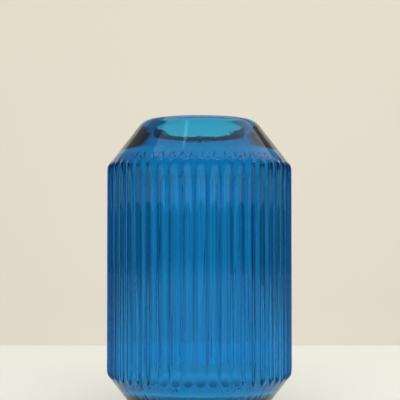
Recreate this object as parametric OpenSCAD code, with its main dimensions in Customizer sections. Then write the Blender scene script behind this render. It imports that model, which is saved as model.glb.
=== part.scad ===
// Fluted glass vase: a straight-sided body with hollow flutes and sharp ridges, between
// a plain cone at the foot and a plain cone at the shoulder, with a round open mouth.
// The vase is blown as one piece of glass.  It is drawn here as the zones that a glassmaker
// names, cut level where they join, so that each one meets the next face to face.
// Origin: the middle of the standing face.  +Z is the axis of the vase, up through the mouth.

/* [Body] */
// Full height, from the standing face to the rim
vase_h = 150; // [145:1:170]
// Radius over the ridges between the flutes
ridge_r = 46; // [44:0.5:50]
// Height of each plain cone, at the foot and at the shoulder
cone_h = 23.6; // [22:0.1:26]

/* [Flutes] */
// Number of flutes round the body
flute_count = 48; // [36:1:60]
// Depth of a flute below its ridges
flute_depth = 1.4; // [0.6:0.1:1.6]
// Width of the narrow land that is left on each ridge
ridge_land = 0.4; // [0.3:0.05:0.8]

/* [Mouth] */
// Outer radius of the rim
rim_r = 27.6; // [26:0.1:30]
// Inner radius of the mouth
mouth_r = 22; // [21:0.25:22]
// Height of the lip, the polished top of the glass
lip_h = 4; // [3.5:0.1:5]
// Rounding of the lip's outer edge, which the polishing takes back a long way
rim_round = 8; // [4:0.5:8]
// Rounding of the lip's inner edge
mouth_round = 1.5; // [0.8:0.1:1.5]

/* [Inside] */
// Thickness of the wall at a ridge
wall_t = 4.1; // [3.6:0.1:5]
// Thickness of the glass under the floor
floor_t = 10; // [8:0.5:14]
// Rounding between the floor and the wall
floor_round = 16; // [12:1:18]

/* [Foot] */
// Outer radius of the standing face, where the lower cone ends
foot_r = 27.6; // [26:0.1:30]
// Radius of the hollow under the base
punt_r = 20; // [16:0.5:23]
// Depth of the hollow under the base
punt_h = 1.5; // [1:0.1:2.5]

/* [Hidden] */
$fn = 96;
glass_blue = [0.10, 0.42, 0.66];

// Inner radius of the straight wall, and the heights of the corners between cones and flutes
bore_r = ridge_r - wall_t;
low_corner_z = cone_h;
top_corner_z = vase_h - cone_h;
lip_z = vase_h - lip_h;
mouth_edge_z = vase_h - mouth_round;
// Growth of each cone's radius for each millimetre of height
foot_slope = (ridge_r - foot_r) / cone_h;
rim_slope = (ridge_r - rim_r) / cone_h;
// The flutes run out on the cones, and the fluted zone ends a little beyond them
run_out_margin = 0.4;
body_low_z = low_corner_z - flute_depth / foot_slope - run_out_margin;
body_top_z = top_corner_z + flute_depth / rim_slope + run_out_margin;
// A flute is an arc from one ridge's land to the next, flute_depth deep at its middle
half_chord = ridge_r * sin(180 / flute_count) - ridge_land / 2;
arc_rise = flute_depth - ridge_r + sqrt(ridge_r * ridge_r - half_chord * half_chord);
flute_r = (half_chord * half_chord + arc_rise * arc_rise) / (2 * arc_rise);
flute_centre_r = ridge_r - flute_depth + flute_r;
// Steps in each curved stretch of the glass
curve_steps = 6;
arc_steps = 8;

// The inside under the shoulder, from the straight wall up to the mouth, as [radius, height].
// The first point and the last one only set a slope.
neck_points = [
    [bore_r, top_corner_z - 24],
    [bore_r, top_corner_z - 12],
    [bore_r - 0.1, top_corner_z - 6],
    [bore_r - 0.6, top_corner_z - 1.4],
    [bore_r - 1.8, top_corner_z + 2.6],
    [bore_r - 3.6, top_corner_z + 6],
    [bore_r - 7, top_corner_z + 9.6],
    [bore_r - 11, top_corner_z + 13.6],
    [bore_r - 14.9, top_corner_z + 17.6],
    [mouth_r, mouth_edge_z],
    [mouth_r - 5, mouth_edge_z + 4.5]
];

// A smooth curve through points b and c, shaped by their neighbours a and d
function through(a, b, c, d, t) =
    0.5 * (2 * b + (c - a) * t + (2 * a - 5 * b + 4 * c - d) * t * t
        + (3 * b - a - 3 * c + d) * t * t * t);

// The rounded corner between the floor and the straight wall
function floor_curve() = [
    for (s = [0 : arc_steps])
        let (turn = 90 * s / arc_steps)
            [bore_r - floor_round * (1 - sin(turn)), floor_t + floor_round * (1 - cos(turn))]
];

// The curve under the shoulder, from the straight wall up to the mouth
function neck_curve() = [
    for (i = [1 : len(neck_points) - 3])
        for (s = [0 : curve_steps - 1])
            through(neck_points[i - 1], neck_points[i], neck_points[i + 1],
                neck_points[i + 2], s / curve_steps)
];

// The whole inside of the vase, from the edge of the flat floor up to the mouth
inside = concat(floor_curve(), neck_curve(), [[mouth_r, mouth_edge_z]]);

// Radius of the inside at a height
function inside_radius(z) = lookup(z, [for (p = inside) [p[1], p[0]]]);

// The inside below one height, down to a lower one
function inside_down(low, top) = [
    for (i = [len(inside) - 1 : -1 : 0])
        if (inside[i][1] > low && inside[i][1] < top) inside[i],
    [inside_radius(low), low]
];

// Radius of the plain cones at a height
function foot_radius(z) = foot_r + foot_slope * z;
function shoulder_radius(z) = rim_r + rim_slope * (vase_h - z);

// Points of an arc, from one angle to another
function arc(centre, radius, from, to) = [
    for (s = [0 : arc_steps])
        let (turn = from + (to - from) * s / arc_steps)
            centre + radius * [cos(turn), sin(turn)]
];

// A ring of glass between two heights: an outer line, then the inside back down
module glass_ring(low, top, outer) {
    rotate_extrude()
        polygon(concat(outer, [[inside_radius(top), top]], inside_down(low, top)));
}

// Solid bottom of the glass, with a shallow hollow under it
module base() {
    color(glass_blue)
        rotate_extrude()
            polygon([
                [0, punt_h],
                [punt_r / 2, 0.75 * punt_h],
                [punt_r, 0],
                [foot_r, 0],
                [foot_radius(floor_t), floor_t],
                [0, floor_t]
            ]);
}

// Lower cone, rounded inside down to the floor
module foot() {
    color(glass_blue)
        glass_ring(floor_t, body_low_z, [
            [foot_radius(floor_t), floor_t],
            [foot_radius(body_low_z), body_low_z]
        ]);
}

// Straight wall with its flutes, which run out on a short length of both cones
module fluted_body() {
    color(glass_blue)
        difference() {
            glass_ring(body_low_z, body_top_z, [
                [foot_radius(body_low_z), body_low_z],
                [ridge_r, low_corner_z],
                [ridge_r, top_corner_z],
                [shoulder_radius(body_top_z), body_top_z]
            ]);
            for (i = [0 : flute_count - 1])
                rotate([0, 0, (i + 0.5) * 360 / flute_count])
                    translate([flute_centre_r, 0, body_low_z - 1])
                        cylinder(r = flute_r, h = body_top_z - body_low_z + 2);
        }
}

// Upper cone, thickest where the glass turns in to the mouth
module shoulder() {
    color(glass_blue)
        glass_ring(body_top_z, lip_z, [
            [shoulder_radius(body_top_z), body_top_z],
            [shoulder_radius(lip_z), lip_z]
        ]);
}

// Polished lip round the mouth, with both edges rounded
module lip() {
    lean = atan(rim_slope);
    rim_centre_r = rim_r + rim_round * (rim_slope - 1 / cos(lean));
    color(glass_blue)
        rotate_extrude()
            polygon(concat(
                [[shoulder_radius(lip_z), lip_z]],
                arc([rim_centre_r, vase_h - rim_round], rim_round, lean, 90),
                arc([mouth_r + mouth_round, mouth_edge_z], mouth_round, 90, 180),
                inside_down(lip_z, mouth_edge_z)
            ));
}

base();
foot();
fluted_body();
shoulder();
lip();
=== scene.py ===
"""Visual model of a fluted blue glass vase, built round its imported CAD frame.

The vase is one seamless piece of blue glass: a plain conical foot, a straight body with
hollow flutes and sharp ridges, a plain conical shoulder and a round polished mouth.  Its surface
is worked out with numpy as one closed grid, turned round the axis of the vase.
Lengths in the classes are in millimetres, as in the CAD, and meshes are in metres.
"""

import logging
import math
from dataclasses import dataclass
from enum import Enum

import bpy
import numpy as np
from mathutils import Matrix, Vector


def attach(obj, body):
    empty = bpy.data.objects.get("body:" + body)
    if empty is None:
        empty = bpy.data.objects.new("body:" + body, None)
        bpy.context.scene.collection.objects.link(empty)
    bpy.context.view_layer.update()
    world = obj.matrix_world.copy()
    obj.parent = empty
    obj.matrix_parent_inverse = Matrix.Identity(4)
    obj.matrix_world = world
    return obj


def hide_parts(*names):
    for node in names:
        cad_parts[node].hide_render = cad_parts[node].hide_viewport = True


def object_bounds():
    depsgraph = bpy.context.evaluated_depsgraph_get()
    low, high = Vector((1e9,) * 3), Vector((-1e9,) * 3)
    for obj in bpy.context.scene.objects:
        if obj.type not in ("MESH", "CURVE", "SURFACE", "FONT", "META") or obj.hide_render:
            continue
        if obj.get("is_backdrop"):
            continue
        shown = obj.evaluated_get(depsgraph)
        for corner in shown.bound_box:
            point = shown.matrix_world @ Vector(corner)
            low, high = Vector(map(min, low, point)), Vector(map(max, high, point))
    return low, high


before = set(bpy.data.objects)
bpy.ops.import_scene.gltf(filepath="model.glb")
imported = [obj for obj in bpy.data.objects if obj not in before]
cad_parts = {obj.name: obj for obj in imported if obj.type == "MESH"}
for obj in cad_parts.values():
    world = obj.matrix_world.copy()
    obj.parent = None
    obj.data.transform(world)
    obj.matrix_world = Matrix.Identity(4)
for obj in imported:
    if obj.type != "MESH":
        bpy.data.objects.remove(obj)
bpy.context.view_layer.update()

LOG = logging.getLogger("vase")
MM = 0.001
TAU = 2.0 * math.pi

Ring = tuple[np.ndarray, np.ndarray]


class Slot(Enum):
    """Material slots of the record."""

    GLASS = "glass"


class Stand(Enum):
    """What stands round the vase and isn't part of it."""

    TABLE = "table_top"
    WALL = "back_wall"


def soft_min(a: np.ndarray, b: np.ndarray, rounding: np.ndarray | float) -> np.ndarray:
    """Smaller of two radii, blended where they meet.

    Formula: half of (a + b - sqrt((a - b)^2 + 4 rounding^2)), which is a hyperbola that
    follows the smaller one away from the meeting point.

    Args:
        a: First radius.
        b: Second radius.
        rounding: How far the blend stays inside the sharp corner.

    Returns:
        The blended radius, never more than the smaller of the two.
    """
    return 0.5 * (a + b - np.sqrt((a - b) ** 2 + 4.0 * rounding**2))


def through(points: np.ndarray, steps: int) -> np.ndarray:
    """Smooth curve through points, from the second to the last but one.

    Formula: the Catmull-Rom cubic, whose slope at each point is half the step from the point
    before it to the point after it.

    Args:
        points: The points, one row each, with one extra at each end that only sets a slope.
        steps: Number of steps between one point and the next.

    Returns:
        The points of the curve, one row each.
    """
    t = (np.arange(steps) / steps)[None, :, None]
    a, b, c, d = (points[i : len(points) - 3 + i, None, :] for i in range(4))
    cubic = 0.5 * (
        2 * b
        + (c - a) * t
        + (2 * a - 5 * b + 4 * c - d) * t**2
        + (3 * b - a - 3 * c + d) * t**3
    )
    return np.vstack([cubic.reshape(-1, points.shape[1]), points[-2]])


@dataclass(frozen=True)
class Unevenness:
    """Slow swell of a blown glass surface, which makes what is seen through it wander.

    Attributes:
        height: Largest swell in or out.
        turns: Whole waves round the vase, one for each ripple.
        climbs: Waves in the height of the vase, one for each ripple.
        seed: Seed of the ripples' phases.
    """

    height: float
    turns: tuple[int, ...] = (2, 3, 5, 9, 14)
    climbs: tuple[float, ...] = (1.3, 2.1, 3.4, 2.7, 4.6)
    seed: int = 7

    def swell(self, theta: np.ndarray, z: np.ndarray, full_height: float) -> np.ndarray:
        """Swell of the surface at each point.

        Formula: the mean of sine ripples, each with its own waves round and up the vase and
        a phase drawn from the seed.

        Args:
            theta: Angle round the axis.
            z: Height.
            full_height: Height of the vase.

        Returns:
            Radial offset, positive outwards.
        """
        phases = np.random.default_rng(self.seed).uniform(0.0, TAU, len(self.turns))
        total = np.zeros(np.broadcast(theta, z).shape)
        for turns, climbs, phase in zip(self.turns, self.climbs, phases):
            total += np.sin(turns * theta + TAU * climbs * z / full_height + phase)
        return self.height * total / len(self.turns)


@dataclass(frozen=True)
class Flutes:
    """Hollow flutes that stand side by side round the body.

    Attributes:
        ridge_radius: Radius over the ridges.
        count: Number of flutes.
        depth: Depth of a flute below its ridges.
        crest: Rounding of a ridge.
        steps: Columns of the grid in one flute.
    """

    ridge_radius: float
    count: int = 48
    depth: float = 1.4
    crest: float = 0.05
    steps: int = 14

    def columns(self) -> tuple[np.ndarray, np.ndarray]:
        """Angles of the grid's columns, and the radius of the fluted wall at each.

        Formula: across a flute the columns follow a sine, so that they crowd at the ridges.
        The wall is an arc through two ridges, met by a line from the axis.  Its depth d is
        then rounded at the ridge, as sqrt(d^2 + crest^2) - crest.

        Returns:
            The angles and the radii.
        """
        ridge, depth = self.ridge_radius, self.depth + self.crest
        half_chord = ridge * math.sin(math.pi / self.count)
        rise = depth - ridge * (1.0 - math.cos(math.pi / self.count))
        arc = (half_chord**2 + rise**2) / (2.0 * rise)
        centre = ridge - depth + arc
        across = half_chord * np.sin(np.linspace(-1, 1, self.steps + 1)[:-1] * math.pi / 2)
        turn = np.arcsin(across / ridge)
        met = centre * np.cos(turn) - np.sqrt(arc**2 - (centre * np.sin(turn)) ** 2)
        sunk = np.sqrt((ridge - met) ** 2 + self.crest**2) - self.crest
        middles = (np.arange(self.count) + 0.5) * TAU / self.count
        return (middles[:, None] + turn).ravel(), np.tile(ridge - sunk, self.count)


@dataclass
class GlassVase:
    """The glass of the vase, from the hollow under its base to the floor inside it.

    Attributes:
        height: Full height.
        flutes: The fluted wall.
        cone_height: Height of each plain cone.
        rim_radius: Outer radius of the rim.
        foot_radius: Outer radius of the standing face.
        mouth_radius: Inner radius of the mouth.
        lip_height: Height of the lip.
        rim_round: Rounding of the lip's outer edge.
        mouth_round: Rounding of the lip's inner edge.
        edge_round: Rounding where the flutes run out on the cones.
        wall: Thickness of the wall at a ridge.
        floor: Thickness of the glass under the floor.
        floor_round: Rounding between the floor and the wall.
        punt_radius: Radius of the hollow under the base.
        punt_height: Depth of the hollow under the base.
        outside: Unevenness of the outer surface.
        inside: Unevenness of the inner surface.
        streaks: Lines drawn up the inside of the straight wall.
        echo: How much the inner surface follows the flutes.
    """

    height: float
    flutes: Flutes
    cone_height: float = 23.6
    rim_radius: float = 27.6
    foot_radius: float = 27.6
    mouth_radius: float = 22.0
    lip_height: float = 4.0
    rim_round: float = 8.0
    mouth_round: float = 1.5
    edge_round: float = 0.3
    wall: float = 4.1
    floor: float = 10.0
    floor_round: float = 16.0
    punt_radius: float = 20.0
    punt_height: float = 1.5
    outside: Unevenness = Unevenness(0.03, seed=11)
    inside: Unevenness = Unevenness(0.1, seed=5)
    streaks: Unevenness = Unevenness(
        0.3, turns=(31, 43, 59, 73, 97), climbs=(0.2, 0.4, 0.1, 0.3, 0.2), seed=3
    )
    echo: float = 0.06

    def __post_init__(self) -> None:
        """Works out the grid's columns, the slopes of the cones and the line of the neck.

        The neck runs from the straight wall up to the mouth, as [radius, height] points.
        """
        self.theta, self.fluted = self.flutes.columns()
        ridge = self.flutes.ridge_radius
        self.foot_slope = (ridge - self.foot_radius) / self.cone_height
        self.rim_slope = (ridge - self.rim_radius) / self.cone_height
        bore = self.bore = ridge - self.wall
        corner = self.height - self.cone_height
        edge = self.height - self.mouth_round
        self.neck = np.array([
            [bore, corner - 24.0],
            [bore, corner - 12.0],
            [bore - 0.1, corner - 6.0],
            [bore - 0.6, corner - 1.4],
            [bore - 1.8, corner + 2.6],
            [bore - 3.6, corner + 6.0],
            [bore - 7.0, corner + 9.6],
            [bore - 11.0, corner + 13.6],
            [bore - 14.9, corner + 17.6],
            [self.mouth_radius, edge],
            [self.mouth_radius - 5.0, edge + 4.5],
        ])

    def ring(self, radius: np.ndarray | float, z: np.ndarray | float) -> Ring:
        """One ring of the grid.

        Args:
            radius: Radius, one value or one for each column.
            z: Height, one value or one for each column.

        Returns:
            The radii and the heights, one for each column.
        """
        shape = self.theta.shape
        return np.broadcast_to(radius, shape), np.broadcast_to(z, shape)

    def under_rings(self) -> list[Ring]:
        """Rings under the base, from the middle out to the foot's lower edge.

        Formula: the hollow is a shallow dome, punt_height times (1 - (r / punt_radius)^2)
        squared; outside it the standing face is flat, up to a small round at its edge.

        Returns:
            The rings, outwards.
        """
        radii = np.linspace(0.14, 1.0, 8) * self.punt_radius
        domes = self.punt_height * (1.0 - (radii / self.punt_radius) ** 2) ** 2
        flat = np.linspace(self.punt_radius, self.foot_radius - 0.7, 4)[1:]
        rings = [self.ring(r, z) for r, z in zip(radii, domes)]
        rings += [self.ring(r, 0.0) for r in flat]
        edge = np.linspace(0.0, 1.0, 4)[1:]
        rings += [
            self.ring(self.foot_radius - 0.7 * (1.0 - t) + 0.18 * t * t, 0.5 * t * t)
            for t in edge
        ]
        return rings

    def outer_rings(self) -> list[Ring]:
        """Rings up the outside, from the foot's lower edge to the lip.

        Formula: the radius is the smaller of the fluted wall and the cone, blended where
        they meet.  Both scalloped edges lie along rings: the height where a cone is as wide
        as the fluted wall is worked out for each column, and rings follow it closely.

        Returns:
            The rings, upwards.
        """
        low_edge = (self.fluted - self.foot_radius) / self.foot_slope
        top_edge = self.height - (self.fluted - self.rim_radius) / self.rim_slope
        beside = np.array([-3.2, -1.7, -0.95, -0.5, -0.22, 0.0, 0.22, 0.5, 0.95, 1.7, 3.2])
        low = [(low_edge + beside[0]) * t for t in (0.05, 0.3, 0.6, 0.85)]
        low += [low_edge + step for step in beside]
        middle = [
            (low_edge + beside[-1]) * (1.0 - t) + (top_edge + beside[0]) * t
            for t in np.linspace(0.0, 1.0, 12)[1:-1]
        ]
        lean = math.atan(self.rim_slope)
        lip_start = self.height - self.rim_round * (1.0 - math.sin(lean))
        top = [top_edge + step for step in beside]
        top += [
            (top_edge + beside[-1]) * (1.0 - t) + lip_start * t
            for t in (0.2, 0.4, 0.6, 0.8, 0.97)
        ]
        rings = []
        for z in low + middle + top:
            cone = np.minimum(
                self.foot_radius + self.foot_slope * z,
                self.rim_radius + self.rim_slope * (self.height - z),
            )
            near = np.minimum(np.abs(z - low_edge), np.abs(z - top_edge))
            rounding = self.edge_round * np.exp(-((near / 6.0) ** 2))
            radius = soft_min(self.fluted, cone, rounding)
            fade = np.clip(np.minimum(z, lip_start - z) / 12.0, 0.0, 1.0)
            swell = self.outside.swell(self.theta, z, self.height)
            rings.append(self.ring(radius + (swell - self.outside.height) * fade, z))
        return rings

    def lip_rings(self) -> list[Ring]:
        """Rings over the polished lip, from its outer edge to its inner edge.

        Formula: an arc of radius rim_round from the slope of the cone to level, and a
        quarter circle of radius mouth_round from level down into the mouth.

        Returns:
            The rings, inwards.
        """
        lean = math.atan(self.rim_slope)
        outer, inner = self.rim_round, self.mouth_round
        outer_centre = self.rim_radius + outer * (self.rim_slope - 1.0 / math.cos(lean))
        inner_centre = self.mouth_radius + inner
        rings = [
            self.ring(
                outer_centre + outer * math.cos(a), self.height - outer + outer * math.sin(a)
            )
            for a in np.linspace(lean, math.pi / 2, 11)
        ]
        rings += [
            self.ring(
                inner_centre + inner * math.cos(a), self.height - inner + inner * math.sin(a)
            )
            for a in np.linspace(math.pi / 2, math.pi, 8)[:-1]
        ]
        return rings

    def inner_rings(self) -> list[Ring]:
        """Rings down the inside, from the lip to the middle of the floor.

        Formula: a smooth curve through the neck's points, a straight wall, and a quarter
        circle down to the flat floor.  The wall swells slowly.  Below the shoulder it also
        has drawn lines and follows the flutes a little.

        Returns:
            The rings, downwards.
        """
        neck = through(self.neck, 5)[::-1]
        bend = self.floor + self.floor_round
        straight = np.linspace(neck[-1, 1], bend, 9)[1:-1]
        turns = np.linspace(0.0, math.pi / 2, 11)
        centre = self.bore - self.floor_round
        line = [tuple(point) for point in neck]
        line += [(self.bore, z) for z in straight]
        line += [
            (centre + self.floor_round * math.cos(a), bend - self.floor_round * math.sin(a))
            for a in turns
        ]
        waves = self.flutes.count * self.theta
        rings = []
        for radius, z in line:
            fade = np.clip((self.height - self.lip_height - z) / 8.0, 0.0, 1.0)
            fade = fade * np.clip((z - self.floor) / 12.0, 0.0, 1.0)
            straight = np.clip((self.height - self.cone_height - z) / 10.0, 0.0, 1.0)
            swell = self.inside.swell(self.theta, z, self.height)
            lines = self.streaks.swell(self.theta, z, self.height) + self.echo * np.cos(waves)
            rings.append(self.ring(radius + fade * (swell + straight * lines), z))
        rings += [self.ring(centre * t, self.floor) for t in (0.75, 0.5, 0.25)]
        return rings

    def mesh(self, name: str) -> bpy.types.Mesh:
        """Closed mesh of the whole glass.

        The rings are joined column by column into quads, and the middles of the base and of
        the floor are closed with fans.

        Args:
            name: Name of the mesh.

        Returns:
            The mesh, in metres, with its faces outwards.
        """
        rings = self.under_rings() + self.outer_rings() + self.lip_rings() + self.inner_rings()
        radii = np.array([ring[0] for ring in rings])
        heights = np.array([ring[1] for ring in rings])
        count = len(self.theta)
        grid = np.stack([radii * np.cos(self.theta), radii * np.sin(self.theta), heights], -1)
        poles = [[0.0, 0.0, self.punt_height], [0.0, 0.0, self.floor]]
        points = np.vstack([grid.reshape(-1, 3), poles]) * MM
        start = np.arange(len(rings) - 1)[:, None] * count
        column = np.arange(count)[None]
        beside = (column + 1) % count
        quads = np.stack(
            [start + column, start + beside, start + count + beside, start + count + column], -1
        ).reshape(-1, 4)
        first, last = np.arange(count), (len(rings) - 1) * count + np.arange(count)
        under = np.stack([np.full(count, len(points) - 2), np.roll(first, -1), first], -1)
        over = np.stack([np.full(count, len(points) - 1), last, np.roll(last, -1)], -1)
        mesh = bpy.data.meshes.new(name)
        mesh.from_pydata(points.tolist(), [], quads.tolist() + under.tolist() + over.tolist())
        mesh.polygons.foreach_set("use_smooth", np.ones(len(mesh.polygons), dtype=bool))
        mesh.update()
        return mesh


@dataclass(frozen=True)
class BlueGlass:
    """Clear blue glass with a deeper blue skin, and a painted blue tint on its reflections.

    Attributes:
        skin: Tint that light takes on where it passes through the surface.
        painted_reflection_tint: Painted blue tint on what is mirrored in the surface, standing
            in for the blue cast of light reflected inside the glass.
        absorb: Loss of red, green and blue light, for each metre of glass.
        ior: Index of refraction.
        smudge: Largest roughness of the faint smudges.
        worn: Roughness of the standing face, where the vase slides on tables.
        worn_to: Height that the wear reaches, in metres.
        ripple: Depth of the fine ripples drawn up the glass, in metres.
    """

    skin: tuple[float, float, float] = (0.48, 0.66, 0.95)
    # Painted blue tint on reflections, standing in for light reflected inside the glass; clear
    # glass reflects untinted.
    painted_reflection_tint: tuple[float, float, float] = (0.35, 0.75, 1.0)
    absorb: tuple[float, float, float] = (800.0, 96.0, 40.0)
    ior: float = 1.5
    smudge: float = 0.03
    worn: float = 0.35
    worn_to: float = 0.0006
    ripple: float = 0.000015

    def noise(self, tree: bpy.types.NodeTree, scale: tuple[float, float, float],
              detail: float) -> bpy.types.NodeSocket:
        """Noise over the glass, in the coordinates of the vase.

        Args:
            tree: Nodes of the material.
            scale: Features for each metre, along each axis.
            detail: Octaves of the noise.

        Returns:
            The noise's value.
        """
        where = tree.nodes.new("ShaderNodeTexCoord")
        mapping = tree.nodes.new("ShaderNodeMapping")
        noise = tree.nodes.new("ShaderNodeTexNoise")
        mapping.inputs["Scale"].default_value = scale
        noise.inputs["Scale"].default_value = 1.0
        noise.inputs["Detail"].default_value = detail
        tree.links.new(where.outputs["Object"], mapping.inputs["Vector"])
        tree.links.new(mapping.outputs["Vector"], noise.inputs["Vector"])
        return noise.outputs["Fac"]

    def remap(self, tree: bpy.types.NodeTree, value: bpy.types.NodeSocket,
              source: tuple[float, float], target: tuple[float, float]) -> bpy.types.NodeSocket:
        """Value moved from one range to another, and held inside it.

        Args:
            tree: Nodes of the material.
            value: The value.
            source: Range of the value.
            target: Range of the result.

        Returns:
            The result.
        """
        node = tree.nodes.new("ShaderNodeMapRange")
        node.inputs["From Min"].default_value, node.inputs["From Max"].default_value = source
        node.inputs["To Min"].default_value, node.inputs["To Max"].default_value = target
        tree.links.new(value, node.inputs["Value"])
        return node.outputs["Result"]

    def roughness(self, tree: bpy.types.NodeTree) -> bpy.types.NodeSocket:
        """Roughness of the surface: polished, with faint smudges and a worn standing face.

        Args:
            tree: Nodes of the material.

        Returns:
            The roughness.
        """
        smudges = self.remap(
            tree, self.noise(tree, (38.0, 38.0, 26.0), 3.0), (0.55, 0.8), (0.0, self.smudge)
        )
        where = tree.nodes.new("ShaderNodeTexCoord")
        split = tree.nodes.new("ShaderNodeSeparateXYZ")
        tree.links.new(where.outputs["Object"], split.inputs["Vector"])
        scuffs = self.remap(
            tree, self.noise(tree, (900.0, 900.0, 900.0), 2.0), (0.35, 0.65), (0.4, 1.0)
        )
        low = self.remap(tree, split.outputs["Z"], (0.0, self.worn_to), (self.worn, 0.0))
        wear = tree.nodes.new("ShaderNodeMath")
        wear.operation = "MULTIPLY"
        tree.links.new(low, wear.inputs[0])
        tree.links.new(scuffs, wear.inputs[1])
        most = tree.nodes.new("ShaderNodeMath")
        most.operation = "MAXIMUM"
        tree.links.new(smudges, most.inputs[0])
        tree.links.new(wear.outputs["Value"], most.inputs[1])
        return most.outputs["Value"]

    def material(self, name: str) -> bpy.types.Material:
        """Material of the glass.

        Args:
            name: Name of the material.

        Returns:
            The material.
        """
        material = bpy.data.materials.new(name)
        material.use_nodes = True
        tree = material.node_tree
        shader = tree.nodes["Principled BSDF"]
        shader.inputs["Base Color"].default_value = (*self.skin, 1.0)
        # Specular Tint: painted blue tint on every reflection, standing in for light reflected
        # inside the glass.
        shader.inputs["Specular Tint"].default_value = (*self.painted_reflection_tint, 1.0)
        shader.inputs["IOR"].default_value = self.ior
        shader.inputs["Transmission Weight"].default_value = 1.0
        tree.links.new(self.roughness(tree), shader.inputs["Roughness"])
        bump = tree.nodes.new("ShaderNodeBump")
        bump.inputs["Distance"].default_value = self.ripple
        bump.inputs["Strength"].default_value = 1.0
        tree.links.new(self.noise(tree, (420.0, 420.0, 9.0), 2.0), bump.inputs["Height"])
        tree.links.new(bump.outputs["Normal"], shader.inputs["Normal"])
        volume = tree.nodes.new("ShaderNodeVolumeAbsorption")
        density = 1.05 * max(self.absorb)
        volume.inputs["Density"].default_value = density
        volume.inputs["Color"].default_value = (*(1.0 - a / density for a in self.absorb), 1.0)
        output = tree.nodes["Material Output"]
        tree.links.new(volume.outputs["Volume"], output.inputs["Volume"])
        return material


@dataclass(frozen=True)
class Lamp:
    """One soft lamp.

    Attributes:
        name: Name of the lamp.
        place: Where it stands, in metres.
        aim: The point that it faces, in metres.
        size: Its width and height, in metres.
        power: Its power, in watts.
        mirrored: Whether it shows in the front of the glass.
        echoed: Whether it shows in the surfaces inside the glass.
    """

    name: str
    place: tuple[float, float, float]
    aim: tuple[float, float, float]
    size: tuple[float, float]
    power: float
    mirrored: bool = False
    echoed: bool = False


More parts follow.
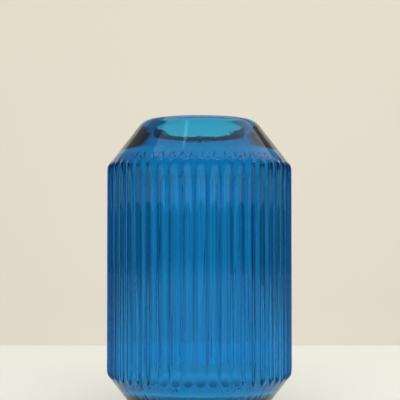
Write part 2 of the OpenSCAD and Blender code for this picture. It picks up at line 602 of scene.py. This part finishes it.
@dataclass(frozen=True)
class Studio:
    """Table, wall, light and camera round the vase.

    Attributes:
        turn: Turn of the whole studio about the vase, in degrees.
        eye_height: Height of the camera over the table, in metres.
        distance: Distance of the camera from the axis of the vase, in metres.
        tilt: Upward tilt of the camera, in degrees.
        lens: Focal length, in millimetres.
        table_back: Distance of the table's far edge behind the axis, in metres.
        wall_back: Distance of the wall behind the axis, in metres.
        wall_top: Height of the wall's upper edge, in metres.
        room: Brightness of the room round the studio.
        lamps: The lamps.
    """

    turn: float = 2.9
    eye_height: float = 0.094
    distance: float = 0.5704
    tilt: float = 1.588
    lens: float = 102.6
    table_back: float = 0.374
    wall_back: float = 0.9
    wall_top: float = 0.6
    room: float = 0.28
    lamps: tuple[Lamp, ...] = (
        Lamp("key_softbox", (0.3, -0.1, 1.5), (0.0, 0.0, 0.0), (3.6, 3.0), 32.0, True),
        Lamp("front_panel", (0.0, -2.1, 1.1), (0.0, 0.0, 0.3), (2.4, 1.7), 14.0),
        Lamp("front_window", (0.0, -1.6, 0.215), (0.0, 0.0, 0.13), (6.0, 0.13), 2.8, True, True),
        Lamp("edge_strip", (0.0, -1.3, 1.0), (0.0, 0.0, 0.12), (1.2, 0.2), 6.0, True),
        Lamp("wall_glow", (0.0, 0.48, -0.2), (0.0, 0.9, 0.15), (1.2, 0.25), 1.3),
        Lamp("strip", (-0.29, -0.13, 1.3), (0.0, 0.0, 0.14), (0.16, 0.05), 0.05, True),
    )

    def placed(self, point: tuple[float, float, float]) -> Vector:
        """Point of the studio, turned about the vase with it.

        Args:
            point: The point before the turn.

        Returns:
            The point after it.
        """
        return Matrix.Rotation(math.radians(self.turn), 3, "Z") @ Vector(point)

    def camera(self) -> None:
        """Makes the camera and sets it as the scene's own."""
        data = bpy.data.cameras.new("camera")
        data.lens = self.lens
        camera = bpy.data.objects.new("camera", data)
        camera.location = self.placed((0.0003, -self.distance, self.eye_height))
        camera.rotation_euler = (math.radians(90.0 + self.tilt), 0.0, math.radians(self.turn))
        bpy.context.scene.collection.objects.link(camera)
        bpy.context.scene.camera = camera

    def sheet(self, stand: Stand, corners: list[tuple[float, float, float]],
              colour: tuple[float, float, float]) -> None:
        """One flat backdrop.

        Args:
            stand: Which backdrop.
            corners: Its four corners, in metres.
            colour: Its colour.
        """
        mesh = bpy.data.meshes.new(stand.value)
        mesh.from_pydata([self.placed(corner) for corner in corners], [], [(0, 1, 2, 3)])
        sheet = bpy.data.objects.new(stand.value, mesh)
        material = bpy.data.materials.new(stand.value)
        material.use_nodes = True
        shader = material.node_tree.nodes["Principled BSDF"]
        shader.inputs["Base Color"].default_value = (*colour, 1.0)
        shader.inputs["Roughness"].default_value = 0.7
        shader.inputs["Specular IOR Level"].default_value = 0.2
        mesh.materials.append(material)
        bpy.context.scene.collection.objects.link(sheet)
        sheet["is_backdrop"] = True

    def backdrops(self) -> None:
        """Makes the table and the wall."""
        self.sheet(
            Stand.TABLE,
            [(-2.0, -3.0, 0.0), (2.0, -3.0, 0.0), (2.0, self.table_back, 0.0),
             (-2.0, self.table_back, 0.0)],
            (0.85, 0.83, 0.75),
        )
        back, top = self.wall_back, self.wall_top
        self.sheet(
            Stand.WALL,
            [(-3.0, back, -1.0), (3.0, back, -1.0), (3.0, back, top), (-3.0, back, top)],
            (0.80, 0.74, 0.63),
        )

    def lights(self) -> None:
        """Makes the lamps and the light of the room."""
        world = bpy.data.worlds.new("room")
        bpy.context.scene.world = world
        world.use_nodes = True
        background = world.node_tree.nodes["Background"]
        background.inputs["Color"].default_value = (1.0, 1.0, 1.0, 1.0)
        background.inputs["Strength"].default_value = self.room
        for lamp in self.lamps:
            data = bpy.data.lights.new(lamp.name, "AREA")
            data.shape = "RECTANGLE"
            data.size, data.size_y = lamp.size
            data.energy = lamp.power
            light = bpy.data.objects.new(lamp.name, data)
            light.location = self.placed(lamp.place)
            aim = self.placed(lamp.aim) - light.location
            light.rotation_euler = aim.to_track_quat("-Z", "Y").to_euler()
            light.visible_camera = False
            light.visible_glossy = lamp.mirrored
            light.visible_transmission = lamp.echoed
            bpy.context.scene.collection.objects.link(light)
        bpy.context.scene.view_settings.view_transform = "Standard"


def place_piece(name: str, mesh: bpy.types.Mesh, material: bpy.types.Material,
                nodes: list[str]) -> bpy.types.Object:
    """Adds a finished piece, which rides on the body and stands for its CAD nodes.

    Args:
        name: Name of the piece.
        mesh: Its mesh.
        material: Its material.
        nodes: CAD nodes that it stands for.

    Returns:
        The piece.
    """
    mesh.materials.append(material)
    piece = bpy.data.objects.new(name, mesh)
    bpy.context.scene.collection.objects.link(piece)
    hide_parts(*nodes)
    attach(piece, "root")
    LOG.info("%s: %d points, %d faces", name, len(mesh.vertices), len(mesh.polygons))
    return piece


def main() -> None:
    """Builds the vase and the studio round it."""
    logging.basicConfig(level=logging.INFO, format="%(name)s %(message)s")
    studio = Studio()
    studio.camera()
    low, high = (np.array(corner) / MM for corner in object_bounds())
    vase = GlassVase(height=float(high[2] - low[2]), flutes=Flutes(float(high[0])))
    glass = BlueGlass().material("blue_glass")
    place_piece("vase_glass", vase.mesh("vase_glass"), glass, list(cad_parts))
    studio.backdrops()
    studio.lights()


if __name__ == "__main__":
    main()
